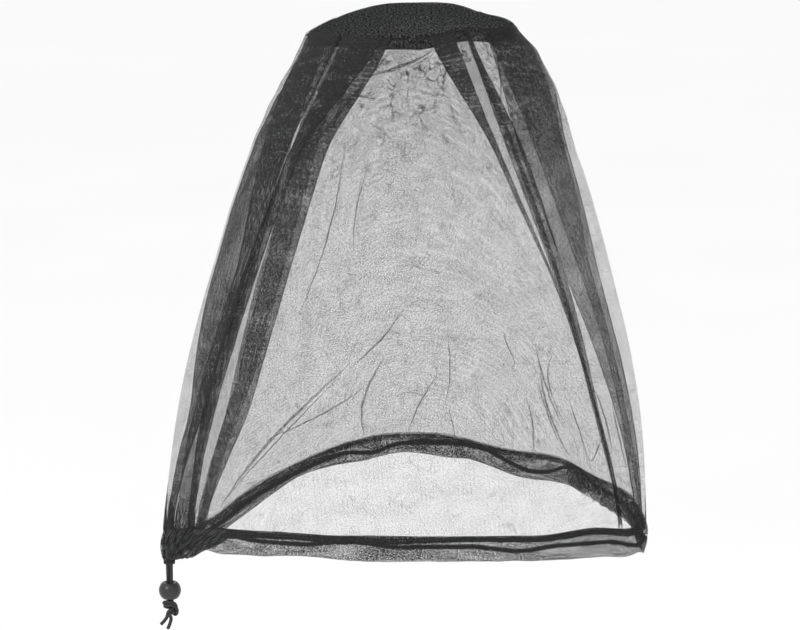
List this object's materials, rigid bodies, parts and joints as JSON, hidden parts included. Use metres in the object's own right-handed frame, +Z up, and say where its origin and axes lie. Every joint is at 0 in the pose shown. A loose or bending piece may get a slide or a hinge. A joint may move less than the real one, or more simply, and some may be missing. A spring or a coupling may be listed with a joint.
{
  "type": "beekeeping veil",
  "caption": "Black net veil with a flat round crown, gathered sides and a hem drawcord that leaves at one corner through a sliding bead.",
  "frame": {"origin": "centre of the crown's underside, where the wearer's hat or head carries the veil", "axes": "+Z up, +X to the wearer's left, +Y behind the wearer; the cord leaves the hem at the wearer's right, -X"},
  "size_m": [0.3627, 0.2084, 0.4548],
  "materials": {
    "net": "fine open net, matt",
    "crown_net": "net doubled until it hides what is behind it",
    "gathered_net": "net bunched in many layers",
    "thread": "sewing thread",
    "cord": "fine braid, matt",
    "bead": "satin"
  },
  "bodies": {
    "veil": {"crown_top_layer": "crown_net", "crown_lining": "crown_net", "crown_seam_allowance": "crown_net", "crown_seam_thread": "thread", "veil_net": "net", "net_join_seam": "net", "hem_casing_front": "net", "hem_casing_back": "net", "hem_turned_edge": "gathered_net", "hem_stitching": "thread", "gather_left": "gathered_net", "gather_right": "gathered_net", "drawcord_loop": "cord", "cord_exit_neck": "gathered_net"},
    "cord_ends": {"cord_strand_outer": "cord", "cord_strand_inner": "cord", "end_knot": "cord", "cord_tail_outer": "cord", "cord_tail_inner": "cord"},
    "bead": {"stopper_bead": "bead"}
  },
  "joints": [
    {"name": "cord_swing", "type": "hinge", "parent": "veil", "child": "cord_ends", "pos_m": [-0.183, 0, -0.4035], "axis": [0, 1, 0], "range_deg": [-35, 35]},
    {"name": "bead_slide", "type": "slide", "parent": "cord_ends", "child": "bead", "axis": [0, 0, 1], "range_m": [0, 0.0085]}
  ]
}
